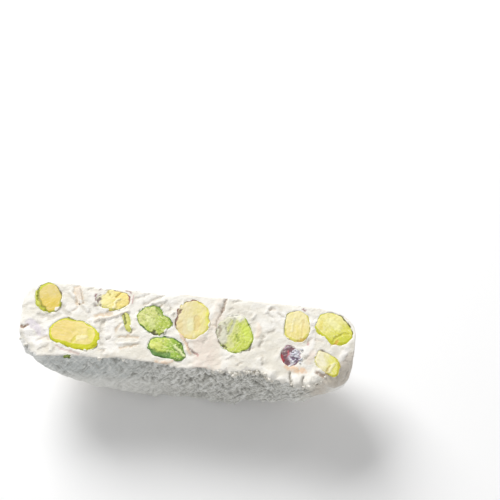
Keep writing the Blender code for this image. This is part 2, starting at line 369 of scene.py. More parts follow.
def signed_distance(places, line):
    """How far each place is from a closed outline, negative inside it."""
    middle = np.mean(line[:-1], axis=0)
    corners = np.array(line[:-1]) - middle
    corner_ways = np.arctan2(corners[:, 1], corners[:, 0])
    from_middle = places - middle
    ways = np.arctan2(from_middle[:, 1], from_middle[:, 0])
    radius = np.interp(ways, corner_ways, np.linalg.norm(corners, axis=1), period=2 * math.pi)
    inside = np.linalg.norm(from_middle, axis=1) < radius
    return distance_to_line(places, line) * np.where(inside, -1, 1)


def outline(node):
    """The border of a kernel's cut face in mm, in order round its middle, closed."""
    corners = np.array([vert.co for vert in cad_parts[node].data.vertices]) / MM
    rim = corners[corners[:, 2] > corners[:, 2].max() - 0.01][:, :2]
    rim = np.unique(rim.round(3), axis=0)
    from_middle = rim - rim.mean(axis=0)
    order = np.argsort(np.arctan2(from_middle[:, 1], from_middle[:, 0]))
    return [tuple(rim[i]) for i in order] + [tuple(rim[order[0]])]


def slanted(places, tilt, stretch):
    """Places squeezed along a slant in the upright plane, so that noise on them makes slanted streaks."""
    tilt = math.radians(tilt)
    along = places[:, 0] * math.cos(tilt) + places[:, 2] * math.sin(tilt)
    across = places[:, 2] * math.cos(tilt) - places[:, 0] * math.sin(tilt)
    return np.column_stack([along / stretch, places[:, 1], across])


class Stroke(NamedTuple):
    """A mark drawn on a surface, in mm: its line, its width, how far it rises, its colour and strength."""

    points: tuple
    width: float
    rise: float = 0
    colour: tuple = (0, 0, 0, 1)
    strength: float = 0


def draw_strokes(strokes, places, waver=0.35, waver_size=1.1):
    """How far every stroke raises each place, and the paint it leaves there."""
    wavered = places.copy()
    flat = np.column_stack([places, np.zeros(len(places))])
    wavered[:, 0] += bumps(flat, waver_size, 2, 1) * waver
    wavered[:, 1] += bumps(flat, waver_size, 2, 2) * waver
    rise = np.zeros(len(places))
    paint = np.zeros((len(places), 4))
    for stroke in strokes:
        away = distance_to_line(wavered, stroke.points)
        there = 1 - smooth(stroke.width * 0.25, stroke.width * 0.6, away)
        rise += stroke.rise * there
        cover = (there * stroke.strength)[:, None]
        paint = paint * (1 - cover) + np.array([*stroke.colour[:3], 1]) * cover
    return rise, paint


KERNELS = sorted(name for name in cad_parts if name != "nougat")
OUTLINES = {name: outline(name) for name in KERNELS}
RAGGED = 0.42


def wander(plan):
    """How far the border of a nut wanders in or out here. Nut and nougat both use it, so they fit."""
    flat = np.column_stack([plan, np.zeros(len(plan))])
    return bumps(flat, 2.9, 2, seed=31) * RAGGED


print(len(KERNELS), "kernels")

# %% [markdown]
# ## The nougat
#
# The knife drags the sticky nougat along, so the cut isn't flat: it has long soft smears, small
# ridges and creases, and lips round the nuts. The floury sides are rougher. They're covered in grains
# and small clods, with fine cracks between them, and the border of the cut crumbles in places.
# All of it is real relief on the net, so that it catches the light and shows in the outline too. The
# finish adds painted shade in the cracks and hollows and painted highlights on the ridges.
#
# The solid model's pockets have a clean even gap round each nut. Real nougat clings to the nuts, so
# swollen copies of the nuts are wrapped in with it to fill the pockets, and shallow beds with uneven
# borders are pressed in for them afterwards.
#
# First come masks, which say what each point belongs to: the cut, the near side, or the rim.

# %% Wrap the nougat
NET = 0.37
FILL_GROW = 0.5
FILL_LOWER = 0.8
shells = merged_copy("nougat")
for kernel in KERNELS:
    add_shell(shells, merged_copy(kernel, grow=FILL_GROW, lower=FILL_LOWER))
nougat = even_net("nougat_slice", shells, NET, smoothing=5)
places, normals = read_points(nougat.data)
print(len(places), "points in the net of the nougat")

# %% Masks of the nougat
CUT_HEIGHT = cad_high.z / MM
# The cut is rubbed round at two corners: (where that begins, which way it faces).
ROUNDED_CORNERS = [((47.7, -6.0), (0.75, -0.66)), ((-49.6, -9.4), (-0.72, -0.69))]

x, y, z = places.T
plan = places[:, :2]
to_nut = np.full(len(places), 9.0)
for line in OUTLINES.values():
    middle = np.mean(line[:-1], axis=0)
    nearby = np.linalg.norm(plan - middle, axis=1) < 14
    to_nut[nearby] = np.minimum(to_nut[nearby], signed_distance(plan[nearby], line))
to_nut += wander(plan)

cut = smooth(0.35, 0.75, normals[:, 2]) * smooth(20, 23, z)
for start, facing in ROUNDED_CORNERS:
    beyond = (plan - start) @ np.array(facing)
    cut *= 1 - smooth(-0.6, 0.6, beyond)
near_side = (1 - cut) * smooth(0.15, 0.6, -normals[:, 1])
far_side = (1 - cut) * smooth(0.15, 0.6, normals[:, 1])


def distance_to_border(mask, ignore):
    """How far each place is from where a mask turns from 0 to 1, negative where the mask is 1."""
    on_border = np.flatnonzero((np.abs(mask - 0.5) < 0.3) & ~ignore)
    tree = kdtree.KDTree(len(on_border))
    for index in on_border:
        tree.insert(places[index], index)
    tree.balance()
    away = np.array([tree.find(place)[2] for place in places])
    return away * np.where(mask > 0.5, -1, 1)


to_border = distance_to_border(cut, to_nut < 1.5)
crumbly = smooth(4, 16, x) * (1 - smooth(43, 47, x)) * smooth(2, -2, y)
print("border of the cut, points:", int((np.abs(to_border) < NET).sum()))

# %% Strokes on the cut
TAN = tone(222, 201, 174)
BEIGE = tone(233, 222, 208)
BLUSH = tone(234, 219, 206)
LILAC = tone(222, 214, 222)
BROWN = tone(150, 118, 96)
PLUM = tone(110, 70, 76)
ROSE = tone(182, 112, 114)
DARK_ROSE = tone(132, 66, 76)
FROTH = tone(252, 249, 246)
ORANGE = tone(238, 198, 158)
GREY = tone(186, 181, 170)
SHADOW = tone(142, 138, 128)

CUT_STROKES = [
    # the seam across the middle and the soft rosy band that follows it
    Stroke(((9.6, 6.5), (8.4, 2.5), (9.2, -3.0), (10.6, -9.8)), 4.2, -0.15, BEIGE, 0.8),
    Stroke(((5.0, -3.0), (6.6, -6.3), (6.2, -9.6)), 7.0, 0.1, BLUSH, 0.7),
    Stroke(((11.1, 14.0), (10.8, 11.2), (10.4, 8.8)), 0.8, -0.5, BROWN, 0.6),
    Stroke(((9.4, 13.6), (8.9, 10.0), (8.8, 6.0)), 2.6, 0.3, BEIGE, 0.6),
    Stroke(((10.4, 8.8), (9.2, 5.4), (9.3, 2.0), (11.0, -2.0)), 0.6, -0.4, BROWN, 0.4),
    # folds and ridges between the nuts on the left
    Stroke(((-39.2, 9.6), (-36.2, 7.2), (-32.4, 4.1)), 1.3, 0.5),
    Stroke(((-29.8, 0.8), (-24.4, 2.6), (-19.6, 5.2)), 0.9, 0.55, TAN, 0.35),
    Stroke(((-29.4, 2.6), (-25.2, 3.7)), 1.7, -0.25, TAN, 0.8),
    Stroke(((-26.6, 1.6), (-27.3, -1.2), (-27.2, -4.6), (-26.4, -7.4)), 1.0, -0.4, GREY, 0.3),
    Stroke(((-31.0, 0.6), (-27.8, -3.2), (-26.2, -9.0)), 1.6, 0.4),
    Stroke(((-21.4, -3.9), (-18.0, -3.2), (-15.1, -3.4)), 0.8, -0.3, TAN, 0.7),
    Stroke(((-21.2, -5.8), (-18.0, -5.6), (-14.9, -4.9)), 1.0, 0.35),
    Stroke(((-20.4, -7.4), (-17.6, -6.9), (-15.2, -5.9)), 0.8, -0.25, TAN, 0.6),
    Stroke(((-16.4, 3.0), (-15.1, 5.9), (-12.4, 8.7), (-8.2, 10.6)), 1.2, 0.5),
    Stroke(((-14.6, 8.2), (-11.4, 10.6), (-8.6, 12.2)), 0.8, -0.35, GREY, 0.3),
    Stroke(((-17.6, 9.6), (-14.4, 11.6), (-12.6, 12.6)), 0.8, -0.3, GREY, 0.25),
    # the outline of the sliver of almond
    Stroke(((-38.0, 11.4), (-36.2, 12.0), (-34.0, 6.2), (-36.1, 5.5), (-38.0, 11.4)), 0.7, -0.25, TAN, 0.7),
    # smears and stains
    Stroke(((-50.1, -2.3), (-47.9, -3.6), (-46.1, -5.4)), 3.0, -0.2, LILAC, 0.8),
    Stroke(((-53.6, -3.6), (-52.1, -4.2), (-50.8, -3.4)), 1.1, -0.3, BROWN, 0.9),
    Stroke(((-47.6, 0.8), (-43.6, 0.0), (-41.0, 1.6)), 1.6, -0.3, GREY, 0.35),
    Stroke(((-40.9, 4.8), (-39.6, 2.6), (-38.2, 1.6)), 1.8, -0.35, GREY, 0.45),
    Stroke(((-45.4, -9.6), (-42.4, -8.2), (-41.9, -10.6)), 1.6, 0.35),
    Stroke(((-46.8, -8.2), (-44.2, -6.2), (-43.0, -7.6)), 0.8, -0.3, TAN, 0.5),
    Stroke(((-40.4, -9.4), (-36.4, -10.4), (-33.2, -11.0)), 0.9, -0.25, ROSE, 0.35),
    Stroke(((3.4, -6.2), (4.6, -7.2)), 1.0, -0.25, ROSE, 0.85),
    Stroke(((2.4, -5.4), (3.1, -6.0)), 0.7, -0.25, PLUM, 0.6),
    Stroke(((-1.8, -0.9), (0.2, -3.2), (1.8, -6.6)), 1.2, 0.4, ORANGE, 0.7),
    Stroke(((-0.6, -1.4), (0.9, -3.6), (2.0, -6.0)), 0.6, -0.3, BROWN, 0.5),
    # the torn skins on both sides of the third nut
    Stroke(((-30.7, 9.8), (-30.5, 7.8)), 0.8, -0.25, DARK_ROSE, 0.95),
    Stroke(((-30.0, 11.4), (-29.2, 12.0)), 0.7, -0.2, PLUM, 0.8),
    Stroke(((-30.4, 6.4), (-29.9, 5.6)), 0.7, -0.2, PLUM, 0.6),
    Stroke(((-30.9, 6.6), (-29.8, 4.8)), 1.4, 0.15, GREY, 0.5),
    Stroke(((-21.2, 12.3), (-19.2, 11.6)), 0.6, -0.2, DARK_ROSE, 0.8),
    Stroke(((-18.9, 10.4), (-18.8, 8.2)), 0.7, 0.1, ROSE, 0.6),
    # whiter patches
    Stroke(((-50.3, -5.6), (-49.0, -7.2), (-46.6, -8.6)), 3.6, 0.1, FROTH, 0.8),
    Stroke(((-25.0, 0.8), (-24.2, -3.0), (-23.8, -8.0)), 4.0, 0.0, FROTH, 0.5),
    Stroke(((38.6, -2.4), (40.0, 2.0), (39.0, 8.0)), 2.4, 0.15, FROTH, 0.5),
    Stroke(((49.6, -3.4), (51.4, 0.6)), 2.2, 0.2, FROTH, 0.6),
    Stroke(((-8.6, -10.7), (-6.0, -10.9), (-3.3, -10.1)), 1.2, 0.2, ORANGE, 0.55),
    Stroke(((22.4, 5.6), (23.0, 3.4), (22.4, 1.4)), 1.5, 0.2, ORANGE, 0.3),
    Stroke(((24.6, 1.6), (23.9, -0.6), (23.5, -2.0)), 1.0, -0.4, GREY, 0.7),
    Stroke(((32.6, -7.2), (35.2, -8.2), (38.4, -8.2)), 2.2, 0.1, ORANGE, 0.75),
    Stroke(((39.5, -5.0), (40.6, -2.0)), 2.4, 0.0, BLUSH, 0.7),
    Stroke(((43.0, -8.4), (44.6, -9.2), (46.4, -9.3)), 1.5, -0.4, BROWN, 0.8),
    # specks of red skin by the oval nut
    Stroke(((35.9, 12.5), (36.9, 12.0)), 0.9, -0.2, DARK_ROSE, 0.9),
    Stroke(((38.5, 1.7), (38.9, 0.8)), 0.8, -0.2, ROSE, 0.7),
    # Two deep grooves by the near border, painted with shade.
    Stroke(((34.4, -9.7), (34.2, -11.0), (35.2, -12.6)), 0.9, -0.9, SHADOW, 0.7),
    Stroke(((38.6, -10.4), (38.2, -12.0), (38.9, -13.0)), 0.7, -0.6, SHADOW, 0.5),
    # small grey nicks of the knife near the far edge
    Stroke(((25.4, 9.6), (26.8, 8.6)), 0.8, -0.3, GREY, 0.5),
    Stroke(((28.8, 10.2), (29.8, 9.2)), 1.1, -0.4, GREY, 0.7),
]


def small_marks(count, dice):
    """Short creases, ridges and specks strewn over the cut, most of them slanting up to the right."""
    marks = []
    for _ in range(count):
        start = Vector((dice.uniform(-51, 52), dice.uniform(-11, 13)))
        way = math.radians(dice.normal(38, 35))
        step = Vector((math.cos(way), math.sin(way))) * dice.uniform(0.3, 1.3)
        end = start + step * 2 + step.orthogonal() * dice.uniform(-0.5, 0.5)
        rise = dice.choice([-0.35, -0.25, 0.3])
        colour = (GREY, TAN, BEIGE)[dice.integers(3)]
        strength = dice.uniform(0.2, 0.6) if rise < 0 else 0
        points = (tuple(start), tuple(start + step), tuple(end))
        marks.append(Stroke(points, dice.uniform(0.6, 1.1), rise, colour, strength))
    return marks


CUT_STROKES += small_marks(70, np.random.default_rng(4))
# Clods that the knife pushed over the near border: (middle, half width, height).
CLODS = [
    ((24.9, -6.8), 1.3, 0.8),
    ((28.4, -10.6), 1.9, 1.0),
    ((31.6, -12.0), 1.4, 0.7),
    ((36.9, -11.9), 1.9, 1.5),
    ((40.2, -11.9), 1.5, 1.5),
    ((42.4, -10.3), 1.5, 1.3),
    ((43.6, -8.4), 1.2, 0.6),
]

# %% Shape the cut
BED_DEPTH = 1.2

stroke_rise, stroke_paint = draw_strokes(CUT_STROKES, plan)
drag = np.column_stack([x * 0.35 + y * 0.12, y + bumps(places, 9, 1, 5) * 2.0, z * 0])
smears = bumps(drag, 1.9, 3, seed=6)
sweeps = bumps(slanted(places[:, [0, 2, 1]], 35, 2.5), 3.4, 2, seed=9)
grain = bumps(places, 0.9, 2, seed=7)
grainy = smooth(-0.1, 0.5, bumps(places, 6, 2, seed=10))
lip = np.exp(-((to_nut / 0.9) ** 2)) * (0.16 + 0.3 * bumps(places, 2.6, 1, seed=8))
bed = smooth(0.0, 0.5, -to_nut) * BED_DEPTH
clods = np.zeros(len(places))
for middle, reach, height in CLODS:
    away = np.linalg.norm(places - (*middle, CUT_HEIGHT - 0.6), axis=1) / reach
    clods = np.maximum(clods, height * np.exp(-(away**2)) * (1 + 0.25 * grain))
cut_rise = stroke_rise + smears * (0.08 + 0.12 * grainy) + sweeps * 0.09 + grain * 0.1 * grainy + lip - bed

# %% Shape the floury sides

def clod_field(places, size, seed):
    """Rounded clods with grooves between them: 1 on a clod and 0 in a groove."""
    warped = places + np.column_stack([bumps(places, size * 1.3, 2, seed + i) for i in range(3)]) * size * 0.6
    shift = Vector((3.7, 9.1, 6.3)) * seed
    distances = np.array([noise.voronoi(Vector(place) + shift)[0][:2] for place in warped / size])
    return smooth(0.0, 0.4, distances[:, 1] - distances[:, 0])


def creases(places, tilt, size, seed):
    """Fine broken lines that run along a slant: 1 in the middle of a line."""
    streaks = np.abs(bumps(slanted(places, tilt, 4.2), size, 2, seed))
    return (1 - smooth(0.03, 0.2, streaks)) * smooth(0.0, 0.5, bumps(places, 5, 2, seed + 1))


coarse = smooth(-30, 8, x) * (1 - smooth(36, 45, x)) * smooth(0.1, 0.5, near_side)
smooth_end = smooth(37, 47, x + (z - 16) * 0.25)
rough = 0.4 + 0.25 * near_side + 0.35 * coarse - 0.2 * smooth_end
lumps = bumps(places, 5.5, 3, seed=11)
folds = bumps(slanted(places, 56, 2.4), 2.8, 3, seed=12)
grains = bumps(places, 1.0, 2, seed=13)
# Besides their relief, the creases get painted shade and the ridges painted highlights in the finish.
dark_creases = creases(places, 62, 2.7, 14) + 0.8 * creases(places, -58, 3.2, 16)
pale_ridges = creases(places, 56, 2.5, 18) + 0.8 * creases(places, -64, 3.0, 20)
dough_clods = clod_field(places, 2.6, 22) * smooth(-0.3, 0.3, bumps(places, 5, 1, seed=23))
side_rise = (lumps * 0.4 + folds * 0.34 + grains * 0.08 - dark_creases * 0.45 + pale_ridges * 0.32) * rough
side_rise += coarse * (dough_clods * 0.4 + folds * 0.15 + grains * 0.12)
border = np.exp(-((to_border / 1.6) ** 2)) * near_side
side_rise += border * (0.25 + crumbly) * (bumps(places, 2.6, 2, seed=24) * 0.55 + grains * 0.3)
resting = smooth(0.2, 2.5, z)

moved = places + normals * (side_rise * (1 - cut) * resting + clods)[:, None]
moved[:, 2] += cut_rise * cut
moved[:, 1] = np.clip(moved[:, 1], cad_low.y / MM - 0.5, cad_high.y / MM + 0.3)
moved[:, 2] = np.clip(moved[:, 2], cad_low.z / MM, CUT_HEIGHT + 0.85)
move_points(nougat.data, moved)
print("relief of the cut, mm:", round(float(np.ptp(cut_rise[(cut > 0.9) & (to_nut > 0)])), 2))
print("relief of the sides, mm:", round(float(np.ptp(side_rise)), 2))

# %% Masks for the nougat's finish
# A bare spot in the flour of the right shoulder.
SMUDGE_PLACE = (51.4, -4.5, 26.0)
SMUDGE_REACH = (1.6, 0.9, 1.4)


def depth_of_hollows(piece, times):
    """How far each vertex lies below its surroundings, in mm: a copy is ironed smooth and compared."""
    places, normals = read_points(piece.data)
    ironed = bmesh.new()
    ironed.from_mesh(piece.data)
    for _ in range(times):
        bmesh.ops.smooth_vert(
            ironed, verts=ironed.verts, factor=0.5, use_axis_x=True, use_axis_y=True, use_axis_z=True
        )
    smoothed = np.array([vert.co for vert in ironed.verts]) / MM
    ironed.free()
    return ((smoothed - places) * normals).sum(axis=1)


fine_hollow = depth_of_hollows(nougat, 6)
deep_hollow = depth_of_hollows(nougat, 30)
print("hollows, mm:", np.percentile(deep_hollow, [1, 25, 50, 75, 99]).round(3))
ragged = bumps(places, 1.5, 3, seed=3) * (0.45 + 1.1 * crumbly) + bumps(places, 3.4, 1, seed=2) * 1.3 * crumbly
creamy = 1 - smooth(-0.3, 0.3, to_border + ragged - 2.6 * clods)
save_mask(nougat.data, "creamy", creamy)
save_mask(nougat.data, "near_side", near_side)
save_mask(nougat.data, "smooth_end", smooth_end * (1 - creamy))
save_mask(nougat.data, "coarse", coarse)
# Painted shade in the creases and painted highlights on the ridges of the floury sides.
save_mask(nougat.data, "crease_shade", np.clip(dark_creases, 0, 1) * rough)
save_mask(nougat.data, "ridge_highlight", np.clip(pale_ridges, 0, 1) * rough)
# Painted highlight along the upright right rim.
save_mask(nougat.data, "rim_highlight", smooth(44, 50, x) * smooth(0.3, 0.05, normals[:, 2]) * smooth(14, 18, z))
smudge = np.exp(-(((places - SMUDGE_PLACE) / SMUDGE_REACH) ** 2).sum(axis=1))
save_mask(nougat.data, "smudge", smudge * (1 - creamy))
# Painted light: the lower part of the near side and the left end of the skin are made lighter.
lit_foot = near_side * smooth(9, 17, to_border) * (1 - 0.75 * coarse)
save_mask(nougat.data, "painted_light", lit_foot + smooth(-42, -50, x) * (1 - cut))
save_mask(nougat.data, "blue", smooth(10, -30, x) * near_side * smooth(6, -3, to_border - 12))
# Painted shade: how deep each point lies in a hollow, for darkening the hollows in the finish.
save_mask(nougat.data, "hollow_shade", smooth(0.0, 0.1, fine_hollow) * 0.4 + smooth(0.0, 0.4, deep_hollow) * 0.6)
# Painted highlight: how far each point stands proud, for lightening raised parts in the finish.
save_mask(nougat.data, "raised_highlight", smooth(0.0, 0.1, -fine_hollow) * 0.4 + smooth(0.0, 0.35, -deep_hollow) * 0.6)
save_paint(nougat.data, "strokes", stroke_paint * creamy[:, None])

# %% [markdown]
# ## The finish of the nougat
#
# The cut is warm cream with whiter and more beige clouds, faintly moist, with painted shade in its
# hollows and painted highlights on its raised parts. The floury skin is a cooler grey-white that
# scatters light evenly: dark specks of painted shadow where grains would throw tiny shadows, browner
# patches where the flour is thin, painted shade in its hollows and creases, and painted highlights on
# its ridges and raised parts, on the lower near side, on the left end and along the right rim. Both
# are one material, because they're one piece, and the border between them is broken up by noise so
# that crumbs of one lie over the other.

# %% Finish of the nougat
CREAM = tone(232, 227, 214)
WHIPPED = tone(246, 243, 236)
SHADY_CREAM = tone(216, 205, 188)
FLOUR = tone(218, 217, 209)
BLUE_FLOUR = tone(204, 208, 206)
FLOUR_LIGHT = tone(246, 246, 242)
FLOUR_SHADE = tone(160, 159, 151)
FLOUR_DARK = tone(116, 114, 107)
END_SKIN = tone(220, 211, 198)
RIM_FLOUR = tone(216, 211, 203)
RIM_LIGHT = tone(232, 229, 223)
RIM_SHADE = tone(196, 189, 180)


def nougat_finish():
    finish = Finish("nougat_white")
    clouds = finish.noise(7, 3, 0.55, 0.6)
    fine = finish.noise(1.3, 3, 0.6)
    grit = finish.noise(0.55, 3, 0.65)
    smear = finish.noise(1.6, 3, 0.6, 0.8, finish.place((3.0, 1, 1), (0, 0, 12)))
    rising = finish.noise(1.0, 3, 0.6, 0.4, finish.place((5, 1, 1), (0, -62, 0)))
    falling = finish.noise(1.2, 3, 0.6, 0.4, finish.place((5, 1, 1), (0, 60, 0)))
    hollow_shade = finish.attribute("hollow_shade")
    raised_highlight = finish.attribute("raised_highlight")
    coarse = finish.attribute("coarse")

    cream = finish.mix(finish.step(clouds, 0.4, 0.66), CREAM, WHIPPED)
    cream = finish.mix(finish.step(smear, 0.52, 0.7) * 0.4, cream, SHADY_CREAM)
    cream = finish.mix(finish.step(fine, 0.5, 0.7) * 0.4, cream, WHIPPED)
    # Painted shade in the hollows of the cut.
    cream = finish.mix(hollow_shade * 0.4, cream, SHADY_CREAM)
    # Painted highlight on the raised parts of the cut.
    cream = finish.mix(raised_highlight * 0.6, cream, WHIPPED)
    cream = finish.paint_over(cream, "strokes", finish.step(fine, 0.25, 0.5))

    near_side = finish.attribute("near_side")
    smooth_end = finish.attribute("smooth_end")
    light = finish.mix(near_side, RIM_LIGHT, FLOUR_LIGHT)
    shade = finish.mix(near_side, RIM_SHADE, FLOUR_SHADE)
    dark = finish.mix(near_side, RIM_SHADE, FLOUR_DARK)
    skin = finish.mix(near_side, RIM_FLOUR, FLOUR)
    skin = finish.mix(finish.attribute("blue"), skin, BLUE_FLOUR)
    skin = finish.mix(smooth_end, skin, END_SKIN)
    streaks = finish.step(rising, 0.53, 0.64) * 0.4 + finish.step(falling, 0.55, 0.66) * 0.3
    contrast = 0.95 + 0.6 * coarse - 0.6 * smooth_end
    flour = finish.mix(streaks * contrast, skin, shade)
    # Streaks of powder are the flour's own; the raised parts add painted highlights.
    powder_and_highlight = finish.step(rising, 0.47, 0.36) * 0.5 + finish.step(falling, 0.45, 0.34) * 0.4 + raised_highlight * 0.5
    flour = finish.mix(powder_and_highlight * contrast, flour, light)
    # Painted highlights on the ridges and painted shade in the creases.
    flour = finish.mix(finish.attribute("ridge_highlight") * (0.5 + 0.3 * coarse), flour, light)
    flour = finish.mix(finish.attribute("crease_shade") * 0.6, flour, shade)
    # Painted shadow: dark specks where grains would throw tiny shadows.
    shadow_specks = finish.step(grit, 0.47, 0.36) * finish.step(clouds, 0.4, 0.56) * (0.1 + 0.45 * coarse)
    flour = finish.mix(shadow_specks, flour, dark)
    # Painted shade in the hollows of the floury skin.
    flour = finish.mix(hollow_shade * (0.4 + 0.4 * coarse), flour, dark)
    # Painted light on the lower near side and the left end.
    flour = finish.mix(finish.attribute("painted_light") * 0.6, flour, light)
    # Painted highlight along the right rim.
    flour = finish.mix(finish.attribute("rim_highlight") * 0.9, flour, FLOUR_LIGHT)
    flour = finish.mix(finish.attribute("smudge") * 0.8, flour, FLOUR_SHADE)

    creamy = finish.step(finish.attribute("creamy") + (fine - 0.5) * 0.5, 0.4, 0.6)
    colour = finish.mix(creamy, flour, cream)
    relief = finish.bump(grit, 0.16)
    relief = finish.bump(fine, 0.22, relief)
    return finish.surface({"Base Color": colour, "Roughness": 0.92 - creamy * 0.22, "Normal": relief})


nougat.data.materials.clear()
nougat.data.materials.append(nougat_finish())
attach(nougat, "root")
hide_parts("nougat")

# %% [markdown]
# ## The halved pistachios
#
# Each nut is cut flat, a little proud of the nougat, with a rounded edge where its skin was. The flesh
# is greenest under the skin and pale yellow in the middle, and no two nuts are alike, so each gets its
# own colours, its own width of green border and its own marks. Their shapes come from the solid model.

# %% The nuts, one by one


class Nut(NamedTuple):
    """How one halved kernel looks. Ways are degrees on the cut, from right towards far; sizes are mm."""

    flesh: tuple
    flesh_far: tuple
    far_way: float
    border: tuple
    border_width: float
    wider_way: float
    wider_by: float
    rind: tuple
    skin: tuple
    skin_arcs: tuple
    grain_way: float = 30
    granular: float = 0.3
    smeared: float = -0.2
    strokes: tuple = ()


DARK_SKIN = tone(98, 70, 72)
PURPLE_SKIN = tone(128, 66, 80)
OLIVE_RIND = tone(140, 138, 56)
DARK_OLIVE = tone(106, 102, 48)
GOLD_RIND = tone(186, 160, 82)
GREEN_RIND = tone(92, 118, 48)
DEEP_GREEN = tone(78, 112, 52)
CRIMSON = tone(160, 30, 42)
WINE = tone(92, 20, 34)
CRYSTAL = tone(222, 225, 234)
CRUMB = tone(216, 213, 196)
BLACK_SPOT = tone(66, 58, 40)
PALE_FLESH = tone(250, 244, 206)
CREAM_SMEAR = tone(242, 238, 228)

